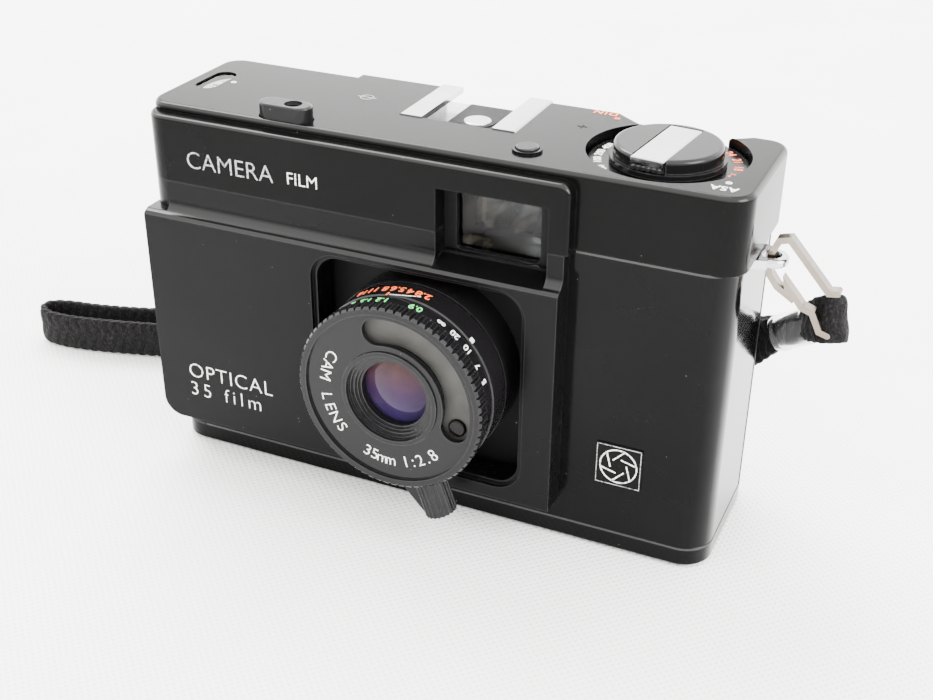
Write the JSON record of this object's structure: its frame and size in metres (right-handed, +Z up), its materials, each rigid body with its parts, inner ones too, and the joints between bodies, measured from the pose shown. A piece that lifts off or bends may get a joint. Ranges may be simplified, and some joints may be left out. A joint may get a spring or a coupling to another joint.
{
  "type": "camera.compact_35mm",
  "caption": "Black compact 35 mm viewfinder film camera with scale-focus lens, crescent meter window, accessory shoe, folding rewind crank and braided wrist strap",
  "frame": {"origin": "mouth of the tripod socket, in the middle of the base, at the height of the surface the camera stands on", "axes": "+X towards the rewind side, +Y towards the rear door (the lens looks along -Y), +Z up"},
  "size_m": [0.1687, 0.0587, 0.0686],
  "materials": {
    "shell_paint": "gloss black lacquer",
    "panel_paint": "satin black lacquer",
    "black_plastic": "moulded black plastic",
    "black_anodised": "black anodised aluminium",
    "steel": "plain bright steel",
    "chrome": "polished chrome plate",
    "nickel": "worn nickel plate on bent wire",
    "bright_aluminium": "bright aluminium crimp",
    "brass": "machined brass",
    "optical_glass": "coated optical glass",
    "white_dial": "printed white disc",
    "diffuser": "grey translucent plastic",
    "blade_steel": "blackened spring steel",
    "black_braid": "flat herringbone braid"
  },
  "bodies": {
    "camera": {"front_cover": "shell_paint", "front_panel": "panel_paint", "top_cover": "shell_paint", "bottom_cover": "shell_paint", "door_hinge_pin": "steel", "chassis": "black_plastic", "spool_bay": "black_plastic", "cassette_bay": "black_plastic", "tripod_bush": "brass", "battery": "steel", "base_screw_1": "steel", "base_screw_2": "steel", "finder_frame": "black_plastic", "finder_window": "optical_glass", "finder_tube": "black_plastic", "finder_objective": "optical_glass", "finder_eyepiece": "optical_glass", "shoe_rails": "chrome", "shoe_base": "black_plastic", "shoe_contact": "chrome", "counter_window": "optical_glass", "release_spring": "steel", "lens_plate": "black_plastic", "lens_barrel": "black_anodised", "shutter_housing": "black_plastic", "meter_window": "diffuser", "cds_cell": "diffuser", "middle_lens": "optical_glass", "rear_lens": "optical_glass", "badge_plate": "shell_paint", "strap_lug": "chrome"},
    "door": {"rear_door": "shell_paint", "pressure_spring": "steel"},
    "film_pressure": {"pressure_plate": "black_anodised"},
    "cap": {"battery_cap": "black_plastic"},
    "rewind_clutch": {"rewind_release_button": "black_plastic"},
    "advance": {"advance_wheel": "black_plastic", "takeup_spool": "black_plastic"},
    "sprocket_drum": {"sprocket": "black_anodised"},
    "counter": {"counter_dial": "white_dial"},
    "release": {"release_button": "black_plastic"},
    "check": {"battery_check_button": "black_plastic"},
    "rewind_lifter": {"latch_collar": "steel"},
    "rewind": {"rewind_shaft": "steel", "rewind_knob": "black_plastic"},
    "crank": {"rewind_crank": "chrome", "crank_grip": "black_plastic"},
    "speed_dial": {"film_speed_dial": "black_plastic"},
    "aperture": {"aperture_ring": "black_anodised"},
    "focus_cell": {"front_cell": "black_anodised", "front_lens": "optical_glass"},
    "focus": {"focus_ring": "black_anodised", "focus_tab": "black_anodised", "name_ring": "black_anodised"},
    "blade_a": {"shutter_blade_a": "blade_steel"},
    "blade_b": {"shutter_blade_b": "blade_steel"},
    "wrist_strap": {"strap_clip": "nickel", "strap_fold": "black_braid", "strap_ferrule": "bright_aluminium", "strap": "black_braid"}
  },
  "joints": [
    {"name": "door_swing", "type": "hinge", "parent": "camera", "child": "door", "pos_m": [-0.0501, 0.00955, 0.0286], "axis": [0, 0, 1], "range_deg": [0, 95], "deforming": ["strap"]},
    {"name": "pressure_plate_float", "type": "slide", "parent": "door", "child": "film_pressure", "axis": [0, 1, 0], "range_m": [0, 0.0006], "stiffness_N_per_m": 200, "springref_m": -0.002},
    {"name": "battery_cap_turn", "type": "hinge", "parent": "camera", "child": "cap", "pos_m": [0.014, -0.003, 0.002], "axis": [0, 0, 1], "range_deg": [0, 60]},
    {"name": "rewind_clutch_press", "type": "slide", "parent": "camera", "child": "rewind_clutch", "axis": [0, 0, 1], "range_m": [0, 0.001]},
    {"name": "advance_turn", "type": "hinge", "parent": "camera", "child": "advance", "pos_m": [-0.039, 0.0052, 0.03], "axis": [0, 0, 1], "continuous": true},
    {"name": "sprocket_turn", "type": "hinge", "parent": "camera", "child": "sprocket_drum", "pos_m": [-0.025, -0.0016, 0.03], "axis": [0, 0, 1], "continuous": true},
    {"name": "counter_turn", "type": "hinge", "parent": "camera", "child": "counter", "pos_m": [-0.041, 0.0011, 0.064], "axis": [0, 0, 1], "continuous": true},
    {"name": "release_press", "type": "slide", "parent": "camera", "child": "release", "axis": [0, 0, -1], "range_m": [0, 0.0015], "stiffness_N_per_m": 400, "springref_m": -0.003, "deforming": ["release_spring"]},
    {"name": "battery_check_press", "type": "slide", "parent": "camera", "child": "check", "axis": [0, 0, -1], "range_m": [0, 0.0005], "stiffness_N_per_m": 300, "springref_m": -0.003},
    {"name": "rewind_lift", "type": "slide", "parent": "camera", "child": "rewind_lifter", "axis": [0, 0, 1], "range_m": [0, 0.0045]},
    {"name": "rewind_turn", "type": "hinge", "parent": "rewind_lifter", "child": "rewind", "pos_m": [0.0354, 0.0012, 0.066], "axis": [0, 0, 1], "continuous": true},
    {"name": "crank_fold", "type": "hinge", "parent": "rewind", "child": "crank", "pos_m": [0.03608, 0.00771, 0.06745], "axis": [-0.9945, 0.1045, 0], "range_deg": [0, 110]},
    {"name": "film_speed_turn", "type": "hinge", "parent": "camera", "child": "speed_dial", "pos_m": [0.0354, 0.0012, 0.0638], "axis": [0, 0, 1], "range_deg": [-60, 60]},
    {"name": "aperture_turn", "type": "hinge", "parent": "camera", "child": "aperture", "pos_m": [0.001, -0.02, 0.0286], "axis": [0, -1, 0], "range_deg": [0, 70]},
    {"name": "focus_travel", "type": "slide", "parent": "camera", "child": "focus_cell", "axis": [0, -1, 0], "range_m": [0, 0.0015]},
    {"name": "focus_turn", "type": "hinge", "parent": "focus_cell", "child": "focus", "pos_m": [0.001, -0.02, 0.0286], "axis": [0, -1, 0], "range_deg": [-110, 0]},
    {"name": "shutter_open_a", "type": "hinge", "parent": "camera", "child": "blade_a", "pos_m": [0.0095, -0.0146, 0.0286], "axis": [0, -1, 0], "range_deg": [0, 70], "stiffness_Nm_per_rad": 0.001, "springref_deg": -17.19},
    {"name": "shutter_open_b", "type": "hinge", "parent": "camera", "child": "blade_b", "pos_m": [-0.0075, -0.0141, 0.0286], "axis": [0, -1, 0], "range_deg": [0, 70], "stiffness_Nm_per_rad": 0.001, "springref_deg": -17.19},
    {"name": "strap_swing", "type": "hinge", "parent": "camera", "child": "wrist_strap", "pos_m": [0.0533, -0.0008, 0.0526], "axis": [0, 0, 1], "range_deg": [-70, 0]}
  ],
  "couplings": [
    {"joint": "sprocket_turn", "follows": "advance_turn", "ratio": 1},
    {"joint": "counter_turn", "follows": "advance_turn", "ratio": 0.025},
    {"joint": "focus_travel", "follows": "focus_turn", "m_per_rad": -0.00073},
    {"joint": "shutter_open_b", "follows": "shutter_open_a", "ratio": 1}
  ]
}
